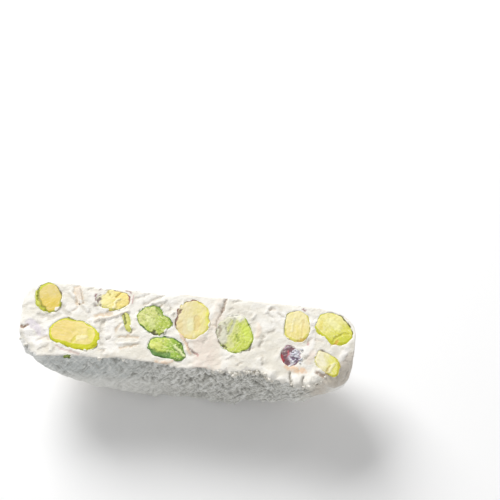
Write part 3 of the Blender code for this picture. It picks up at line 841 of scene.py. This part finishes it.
NUTS = {
    "pistachio_01": Nut(
        tone(226, 204, 124), tone(226, 198, 84), -80,
        tone(198, 202, 52), 0.8, 180, 1.2, OLIVE_RIND, DARK_SKIN, ((32, 50),),
        strokes=(
            Stroke(((-48.9, 9.6), (-48.6, 6.2), (-46.9, 3.6), (-45.0, 2.2)), 0.6, -0.3, tone(136, 142, 44), 0.8),
            Stroke(((-49.4, 9.0), (-49.2, 5.8), (-47.4, 2.8)), 0.5, 0.2, tone(214, 218, 110), 0.8),
            Stroke(((-46.0, 10.4), (-44.6, 7.4)), 2.0, 0, tone(232, 212, 146), 0.4),
        ),
    ),
    "pistachio_02": Nut(
        tone(236, 212, 128), tone(240, 222, 142), 0,
        tone(208, 208, 24), 1.0, -70, 2.4, OLIVE_RIND, OLIVE_RIND, ((110, 50), (-62, 14)),
        grain_way=-8, granular=0.2, smeared=-0.3,
        strokes=(
            Stroke(((-34.9, -5.8), (-35.6, -7.2)), 1.3, -0.1, tone(212, 204, 52), 0.6),
            Stroke(((-34.0, -5.8), (-31.9, -5.2)), 1.7, 0.1, PALE_FLESH, 0.5),
            Stroke(((-30.6, -3.0), (-30.0, -5.6)), 1.8, -0.1, tone(226, 222, 96), 0.55),
        ),
    ),
    "pistachio_03": Nut(
        tone(244, 232, 162), tone(244, 224, 134), 0,
        tone(216, 214, 92), 0.5, -90, 0.3, GOLD_RIND, PURPLE_SKIN, ((172, 26), (85, 14), (8, 22)),
        granular=0.6, smeared=0.15,
        strokes=(
            Stroke(((-29.2, 10.4), (-29.6, 8.0), (-28.6, 5.8)), 2.2, 0.05, CRUMB, 0.85),
            Stroke(((-29.0, 10.6), (-29.3, 9.6)), 0.9, -0.25, PLUM, 0.85),
            Stroke(((-28.9, 8.4), (-29.4, 7.4)), 1.0, -0.25, DARK_SKIN, 0.8),
            Stroke(((-28.2, 6.6), (-28.6, 6.0)), 0.7, -0.2, PLUM, 0.6),
            Stroke(((-22.4, 12.2), (-21.2, 11.7)), 0.8, -0.2, tone(150, 84, 80), 0.8),
            Stroke(((-19.9, 10.6), (-19.7, 8.4)), 1.2, 0.0, tone(170, 96, 108), 0.8),
            Stroke(((-24.2, 9.4), (-22.8, 11.0)), 0.7, -0.3, tone(216, 186, 92), 0.7),
            Stroke(((-26.6, 10.6), (-26.0, 9.9)), 0.7, -0.2, tone(190, 176, 84), 0.6),
            Stroke(((-24.4, 5.6), (-24.0, 8.0), (-22.8, 9.0)), 0.8, 0.25, PALE_FLESH, 0.6),
            Stroke(((-23.0, 4.8), (-20.8, 6.6)), 0.5, -0.3, BROWN, 0.6),
        ),
    ),
    "pistachio_04": Nut(
        tone(220, 220, 122), tone(212, 212, 106), -90,
        tone(166, 178, 64), 0.35, 0, 0.0, OLIVE_RIND, GREEN_RIND, ((200, 50),), smeared=-0.5,
        strokes=(
            Stroke(((-21.0, 4.4), (-20.3, 2.6), (-19.7, 0.8)), 0.6, -0.3, tone(104, 108, 52), 0.8),
        ),
    ),
    "pistachio_05": Nut(
        tone(216, 220, 134), tone(184, 202, 80), -45,
        tone(150, 176, 62), 0.9, 60, 0.7, GREEN_RIND, DEEP_GREEN, ((110, 50), (-130, 40), (20, 24)),
        grain_way=-30, granular=1.0, smeared=-0.1,
        strokes=(
            Stroke(((-10.8, -0.8), (-9.6, -1.2)), 1.2, -0.3, BLACK_SPOT, 0.9),
            Stroke(((-7.8, -1.1), (-7.0, -0.9)), 0.9, -0.2, BLACK_SPOT, 0.7),
            Stroke(((-12.6, 3.6), (-11.0, 1.0)), 2.4, 0.1, tone(230, 232, 172), 0.5),
            Stroke(((-10.4, 6.8), (-8.6, 5.0)), 1.6, -0.15, tone(122, 150, 52), 0.5),
        ),
    ),
    "pistachio_06": Nut(
        tone(206, 220, 98), tone(152, 188, 56), 0,
        tone(108, 148, 52), 0.8, -100, 1.8, DEEP_GREEN, DEEP_GREEN, ((60, 50), (-120, 50)),
        grain_way=-20, granular=0.9,
        strokes=(
            Stroke(((-10.2, -7.4), (-8.2, -8.2), (-4.9, -8.1)), 2.2, -0.25, tone(84, 128, 62), 0.8),
            Stroke(((-8.0, -8.8), (-5.4, -9.0)), 0.8, -0.25, tone(52, 78, 40), 0.7),
            Stroke(((-3.0, -5.0), (-1.4, -6.4), (0.2, -7.9)), 1.0, 0.4, tone(236, 242, 186), 0.85),
            Stroke(((-1.8, -4.6), (-0.2, -6.6)), 0.7, -0.25, tone(96, 136, 44), 0.6),
            Stroke(((-9.8, -5.6), (-7.8, -4.8)), 2.0, 0.1, tone(226, 230, 128), 0.6),
        ),
    ),
    "pistachio_07": Nut(
        tone(230, 217, 170), tone(234, 222, 150), 10,
        tone(226, 218, 112), 0.5, 5, 1.2, GOLD_RIND, PURPLE_SKIN, ((176, 40), (100, 14)),
        grain_way=75, granular=0.4,
        strokes=(
            Stroke(((2.6, 5.6), (3.2, 3.4), (2.9, 1.6)), 1.9, -0.15, tone(222, 196, 124), 0.6),
            Stroke(((-2.3, 3.8), (-2.0, 0.6)), 1.4, 0, tone(226, 204, 142), 0.6),
            Stroke(((0.6, 4.4), (1.0, 1.6)), 2.2, 0, tone(236, 236, 196), 0.6),
            Stroke(((-2.8, 7.4), (-3.5, 5.2), (-3.3, 2.0)), 0.8, -0.25, PLUM, 0.75),
            Stroke(((-1.4, -0.9), (1.6, -1.2)), 1.4, 0, tone(232, 212, 132), 0.7),
            Stroke(((5.4, 7.0), (5.9, 3.6)), 1.1, 0, tone(222, 222, 84), 0.6),
        ),
    ),
    "pistachio_08": Nut(
        tone(212, 214, 138), tone(206, 218, 92), -10,
        tone(168, 188, 60), 0.6, -20, 0.6, GREEN_RIND, DARK_OLIVE, ((-45, 22), (190, 30)),
        grain_way=60, granular=0.8, smeared=0.1,
        strokes=(
            Stroke(((12.2, 6.6), (11.0, 2.8), (12.0, -0.8)), 3.4, 0.15, CRUMB, 0.9),
            Stroke(((13.8, 7.6), (16.6, 7.0)), 2.6, 0.2, CREAM_SMEAR, 0.9),
            Stroke(((14.9, 6.2), (14.2, 3.4), (13.4, 1.0)), 1.2, -0.2, tone(196, 196, 170), 0.8),
            Stroke(((12.0, 4.4), (12.6, 2.0)), 0.7, -0.2, tone(170, 168, 140), 0.6),
            Stroke(((10.6, 3.6), (10.8, 0.4)), 0.7, -0.25, tone(150, 132, 110), 0.6),
            Stroke(((13.8, -0.6), (14.8, -2.6)), 1.8, 0.05, tone(222, 222, 160), 0.7),
            Stroke(((16.2, 1.4), (16.8, -0.8)), 0.8, -0.2, tone(162, 178, 72), 0.6),
            Stroke(((18.4, 4.0), (19.4, 0.6)), 2.2, 0, tone(214, 230, 96), 0.7),
            Stroke(((12.4, -2.7), (13.2, -3.4)), 0.9, -0.25, BLACK_SPOT, 0.75),
        ),
    ),
    "pistachio_09": Nut(
        tone(243, 231, 172), tone(240, 224, 146), -90,
        tone(222, 214, 104), 0.6, -95, 0.9, GOLD_RIND, OLIVE_RIND, ((170, 50), (0, 24)),
        grain_way=88, granular=0.45,
        strokes=(
            Stroke(((35.6, 1.7), (37.6, 2.5)), 1.1, -0.1, tone(214, 172, 80), 0.7),
            Stroke(((33.4, 9.0), (33.2, 4.6)), 0.8, 0.1, PALE_FLESH, 0.5),
            Stroke(((36.4, 8.6), (36.6, 3.6)), 0.8, -0.1, tone(232, 208, 138), 0.5),
        ),
    ),
    "pistachio_10": Nut(
        tone(240, 232, 152), tone(220, 218, 84), -60,
        tone(204, 204, 44), 0.6, -90, 1.3, OLIVE_RIND, DARK_OLIVE, ((80, 44), (10, 38)),
        grain_way=-30, granular=0.5,
        strokes=(
            Stroke(((46.6, 2.9), (47.6, 4.4), (49.4, 5.4), (51.0, 5.6)), 0.9, -0.2, tone(196, 192, 52), 0.45),
            Stroke(((49.4, 3.6), (50.8, 3.4)), 2.4, 0, tone(208, 214, 56), 0.6),
            Stroke(((47.3, 1.6), (47.9, 2.8)), 1.1, -0.1, tone(222, 172, 66), 0.8),
            Stroke(((42.4, 8.8), (42.4, 6.4)), 1.3, 0, tone(226, 208, 70), 0.5),
            Stroke(((45.0, 9.6), (47.6, 7.4)), 2.6, 0.05, tone(248, 244, 186), 0.6),
        ),
    ),
    "pistachio_11": Nut(
        tone(240, 232, 196), tone(228, 224, 116), 0,
        tone(212, 208, 72), 0.5, 0, 0.8, GOLD_RIND, DARK_SKIN, ((95, 30),),
        grain_way=-42, granular=0.5,
        strokes=(
            Stroke(((46.3, -7.2), (47.5, -4.9)), 1.3, 0.15, tone(242, 236, 196), 0.8),
            Stroke(((45.7, -7.0), (46.3, -6.0)), 0.8, -0.2, tone(190, 166, 92), 0.6),
            Stroke(((44.2, -7.6), (45.2, -8.2)), 1.4, 0.1, tone(238, 214, 170), 0.8),
            Stroke(((43.4, -3.4), (44.6, -5.4)), 1.8, 0, tone(244, 238, 210), 0.6),
        ),
    ),
    "red_kernel": Nut(
        tone(206, 196, 208), tone(216, 212, 222), 0,
        tone(176, 128, 146), 0.4, 180, 0.6, tone(130, 70, 88), CRIMSON, ((190, 60),),
        granular=0.6, smeared=0.0,
        strokes=(
            Stroke(((33.9, -1.2), (32.2, -2.6), (31.9, -4.6), (33.3, -6.2)), 2.0, -0.25, WINE, 0.85),
            Stroke(((31.0, -2.6), (31.0, -4.6), (31.8, -6.0)), 0.9, 0.1, CRIMSON, 0.9),
            Stroke(((32.9, -2.4), (32.9, -4.0)), 0.7, 0.15, tone(196, 92, 100), 0.8),
            Stroke(((34.4, -4.4), (36.0, -4.8)), 1.1, -0.3, tone(92, 62, 100), 0.85),
            Stroke(((34.2, -2.4), (34.6, -3.2)), 0.7, -0.3, tone(120, 96, 128), 0.7),
            Stroke(((35.4, -5.9), (36.0, -5.4)), 0.7, -0.2, tone(108, 84, 120), 0.7),
        ),
    ),
}

# %% Shape and paint the nuts
NUT_NET = 0.2
SWELL = 0.32
EDGE_ROUNDING = 0.8
EDGE_DROP = 0.35


def arc_strength(ways, arcs):
    """1 in the middle of each arc (way, half spread in degrees), fading out past it."""
    strongest = np.zeros(len(ways))
    for way, spread in arcs:
        off = np.abs((np.degrees(ways) - way + 180) % 360 - 180)
        strongest = np.maximum(strongest, 1 - smooth(spread * 0.7, spread * 1.3, off))
    return strongest


def make_nut(name, nut, seed):
    piece = even_net(name + "_halved", merged_copy(name), NUT_NET, smoothing=2)
    places, normals = read_points(piece.data)
    plan = places[:, :2]
    middle = np.mean(OUTLINES[name][:-1], axis=0)
    reach = np.linalg.norm(np.array(OUTLINES[name]) - middle, axis=1).mean()
    from_middle = plan - middle
    ways = np.arctan2(from_middle[:, 1], from_middle[:, 0])
    outward = from_middle / np.linalg.norm(from_middle, axis=1).clip(0.1)[:, None]
    top = places[:, 2].max()
    on_cut = smooth(0.4, 0.8, normals[:, 2]) * smooth(-1.0, -0.4, places[:, 2] - top)
    to_edge = distance_to_line(plan, OUTLINES[name])

    wave = bumps(places, 3.2, 2, seed)
    granules = bumps(places, 0.75, 2, seed + 1)
    patches = bumps(places, 2.8, 2, seed + 3)
    smear = smooth(1.0 - nut.smeared, 1.5 - nut.smeared, patches + 1 - to_edge * 0.8) * on_cut
    rise, paint = draw_strokes(nut.strokes, plan, 0.3, 0.9)
    rise += wave * 0.12 + granules * 0.11 * nut.granular + smear * (0.15 + 0.1 * granules)
    rise -= EDGE_DROP * (1 - smooth(0, EDGE_ROUNDING, to_edge + wave * 0.25)) * (1 - smear)
    wandering = (SWELL - wander(plan)) * (1 - smooth(0.3, 2.0, to_edge) * on_cut)
    moved = places.copy()
    moved[:, :2] += outward * wandering[:, None]
    moved[:, 2] += rise * on_cut
    move_points(piece.data, moved)

    far_way, wider_way = (
        np.array([math.cos(math.radians(way)), math.sin(math.radians(way))])
        for way in (nut.far_way, nut.wider_way)
    )
    width = nut.border_width + nut.wider_by * np.clip(from_middle @ wider_way / reach, 0, 1)
    edge = to_edge + bumps(places, 1.4, 2, seed + 2) * 0.12
    save_mask(piece.data, "border", 1 - smooth(0.45, 1.0, edge / width) * on_cut)
    save_mask(piece.data, "rind", (1 - smooth(0.1, 0.45, edge) * on_cut) * smooth(-0.6, 0.2, patches))
    skin = (1 - smooth(0.25, 0.75, edge) * on_cut) * arc_strength(ways, nut.skin_arcs)
    save_mask(piece.data, "skin", skin)
    save_mask(piece.data, "far", np.clip(from_middle @ far_way / reach * 0.6 + 0.5, 0, 1))
    save_mask(piece.data, "smear", smear)
    # Painted shade: how deep each point of the nut lies in a hollow.
    save_mask(piece.data, "hollow_shade", smooth(0.0, 0.08, depth_of_hollows(piece, 8)))
    save_paint(piece.data, "strokes", paint * on_cut[:, None])
    return piece


def nut_finish(name, nut):
    finish = Finish(name + "_flesh")
    patches = finish.noise(2.6, 3, 0.55, 0.5)
    along_grain = finish.place((2.6, 1, 1), (0, 0, nut.grain_way))
    fibres = finish.noise(0.7, 3, 0.65, 0.3, along_grain)
    granules = finish.noise(0.6, 2, 0.6)
    pale = finish.mix(0.6, nut.flesh, PALE_FLESH)
    far = finish.step(finish.attribute("far") + (patches - 0.5) * 0.6, 0.25, 0.75)
    flesh = finish.mix(far, nut.flesh, nut.flesh_far)
    flesh = finish.mix(finish.step(fibres, 0.5, 0.72) * (0.25 + 0.35 * nut.granular), flesh, nut.border)
    flesh = finish.mix(finish.step(fibres, 0.5, 0.32) * (0.3 + 0.3 * nut.granular), flesh, pale)
    edge = finish.step(finish.attribute("border") + (fibres - 0.5) * 0.5, 0.35, 0.7)
    colour = finish.mix(edge, flesh, nut.border)
    sparkle = finish.step(granules, 0.56, 0.68) * (0.7 * nut.granular)
    colour = finish.mix(sparkle, colour, pale)
    rind = finish.step(finish.attribute("rind") + (patches - 0.5) * 0.9, 0.45, 0.85)
    colour = finish.mix(rind * 0.75, colour, nut.rind)
    skin = finish.step(finish.attribute("skin") + (patches - 0.5) * 0.5, 0.35, 0.7)
    colour = finish.mix(skin * 0.9, colour, nut.skin)
    # Painted shade in the hollows of the flesh, in the colour of the rind.
    colour = finish.mix(finish.attribute("hollow_shade") * (0.15 + 0.35 * nut.granular), colour, nut.rind)
    colour = finish.paint_over(colour, "strokes", finish.step(fibres, 0.2, 0.45))
    smear = finish.step(finish.attribute("smear") + (granules - 0.5) * 0.4, 0.35, 0.6)
    colour = finish.mix(smear, colour, CREAM_SMEAR)
    relief = finish.bump(fibres, 0.1 + 0.12 * nut.granular)
    relief = finish.bump(granules, 0.08, relief)
    return finish.surface({"Base Color": colour, "Roughness": 0.5 + fibres * 0.25, "Normal": relief})


for seed, (name, nut) in enumerate(NUTS.items(), start=21):
    piece = make_nut(name, nut, seed)
    piece.data.materials.clear()
    piece.data.materials.append(nut_finish(name, nut))
    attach(piece, "root")
    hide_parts(name)
    "red_skin" if name == "red_kernel" else "pistachio_green"
print(len(NUTS), "nuts dressed")

# %% [markdown]
# ## Chips, crumbs and clumps of flour
#
# The knife leaves crumbs along the near border, and the flour on the skin is in grains. They're made
# as real little lumps and joined into one mesh for each kind. Each lump is an icosphere with its
# corners pushed about, laid on a vertex of the nougat that is picked by a seeded dice, so that every
# run gives the same crumbs. Two bigger fragments, a sliver of almond and a chip of pistachio, get a
# shape of their own.

# %% Lumps
dice = np.random.default_rng(7)
surface_places, surface_normals = read_points(nougat.data)


def add_lump(builder, place, radius, detail, squash=1.0, seed=0.0):
    """Adds one uneven lump at a place, in mm. It's shaped by itself first, which is much quicker."""
    lump = bmesh.new()
    bmesh.ops.create_icosphere(lump, subdivisions=detail, radius=radius * MM)
    for vert in lump.verts:
        share = noise.noise(vert.co / (radius * MM) * 1.3 + Vector((seed, 0, 0)))
        vert.co *= 1 + 0.75 * share
        vert.co.z *= squash
    turn = Euler((seed * 2.1, seed * 1.3, seed * 3.7)) if squash == 1 else Euler()
    bmesh.ops.rotate(lump, verts=lump.verts, matrix=turn.to_matrix())
    bmesh.ops.scale(lump, verts=lump.verts, vec=(1, 0.8, 0.9))
    bmesh.ops.translate(lump, verts=lump.verts, vec=Vector(place) * MM)
    add_shell(builder, lump)


def scatter(chances, count, radii, detail):
    """Lumps on vertices picked by their chances, with radii between two sizes in mm."""
    builder = bmesh.new()
    picked = dice.choice(len(chances), size=count, p=chances / chances.sum())
    sizes = radii[0] + (radii[1] - radii[0]) * dice.random(count) ** 2
    for index, (vertex, radius) in enumerate(zip(picked, sizes)):
        place = surface_places[vertex] + surface_normals[vertex] * radius * 0.2
        add_lump(builder, place, radius, detail, seed=index * 0.7)
    return builder


def finish_piece(name, builder, material):
    """Turns a bmesh into a piece of the object."""
    bmesh.ops.recalc_face_normals(builder, faces=builder.faces)
    piece = bpy.data.objects.new(name, bpy.data.meshes.new(name))
    builder.to_mesh(piece.data)
    builder.free()
    piece.data.shade_smooth()
    piece.data.materials.append(material)
    bpy.context.scene.collection.objects.link(piece)
    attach(piece, "root")
    print(name, "triangles:", sum(len(face.vertices) - 2 for face in piece.data.polygons))
    return piece


def lump_finish(name, colour, other, roughness):
    finish = Finish(name)
    mottle = finish.noise(0.6, 3, 0.6)
    shade = finish.mix(finish.step(mottle, 0.35, 0.7), colour, other)
    relief = finish.bump(finish.noise(0.25, 2, 0.6), 0.06)
    return finish.surface({"Base Color": shade, "Roughness": roughness, "Normal": relief})


above_floor = smooth(1.0, 3.0, places[:, 2])
along_border = np.exp(-((to_border / 1.2) ** 2)) * near_side
crumbs = scatter(along_border * above_floor * (0.06 + crumbly) + 1e-9, 90, (0.25, 0.8), 2)
finish_piece("nougat_crumbs", crumbs, lump_finish("crumb_cream", CREAM, WHIPPED, 0.8))

floury = (1 - creamy) * above_floor * (0.1 + coarse) * smooth(-0.1, 0.5, lumps)
grains_of_flour = scatter(floury, 1300, (0.1, 0.26), 1)
flour_look = lump_finish("flour_grains", FLOUR, FLOUR_LIGHT, 0.95)
finish_piece("flour_grains", grains_of_flour, flour_look)

# %% The fragments
SLIVER_PLACE = Vector((-36.1, 8.7, CUT_HEIGHT - 0.3))
SLIVER_SIZE = Vector((5.6, 1.6, 1.0))
SLIVER_TURN = math.radians(-70)


def sliver_of_almond():
    builder = bmesh.new()
    bmesh.ops.create_cube(builder, size=1)
    bmesh.ops.scale(builder, vec=SLIVER_SIZE * MM, verts=builder.verts)
    bmesh.ops.bevel(
        builder, geom=builder.edges[:], offset=0.25 * MM, affect="EDGES", segments=2, profile=0.5, material=-1
    )
    bmesh.ops.subdivide_edges(builder, edges=builder.edges[:], cuts=3, use_grid_fill=True)
    # Without a seed this kind of noise is different in every run.
    noise.seed_set(3)
    for vert in builder.verts:
        vert.co += noise.noise_vector(vert.co / (1.6 * MM)) * 0.3 * MM
    turn = Matrix.Rotation(SLIVER_TURN, 3, "Z")
    bmesh.ops.rotate(builder, verts=builder.verts, matrix=turn)
    bmesh.ops.translate(builder, verts=builder.verts, vec=SLIVER_PLACE * MM)
    return builder


almond = lump_finish("almond_flesh", tone(238, 228, 214), tone(226, 210, 190), 0.6)
finish_piece("almond_sliver", sliver_of_almond(), almond)

chip = bmesh.new()
for offset, radius in (((0, 0), 0.85), ((-0.9, -0.35), 0.6), ((0.7, 0.25), 0.5)):
    add_lump(chip, (-36.2 + offset[0], -12.0 + offset[1], CUT_HEIGHT - 0.8), radius, 3, 0.7, offset[0] + 5)
chip_look = lump_finish("pistachio_chip", tone(136, 152, 70), tone(70, 88, 40), 0.6)
finish_piece("pistachio_chip", chip, chip_look)

crystals = bmesh.new()
for index in range(26):
    spot = (dice.uniform(34.0, 37.4), dice.uniform(-6.4, -1.0), CUT_HEIGHT + 0.05)
    add_lump(crystals, spot, dice.uniform(0.22, 0.5), 1, seed=index * 1.9)
crystal_look = lump_finish("sugar_crystals", CRYSTAL, tone(244, 245, 250), 0.35)
finish_piece("sugar_crystals", crystals, crystal_look)

# %% [markdown]
# ## The last update
#
# The looks may stand only a little proud of the solid model. At the end the view layer is updated.

# %% Finish
bpy.context.view_layer.update()
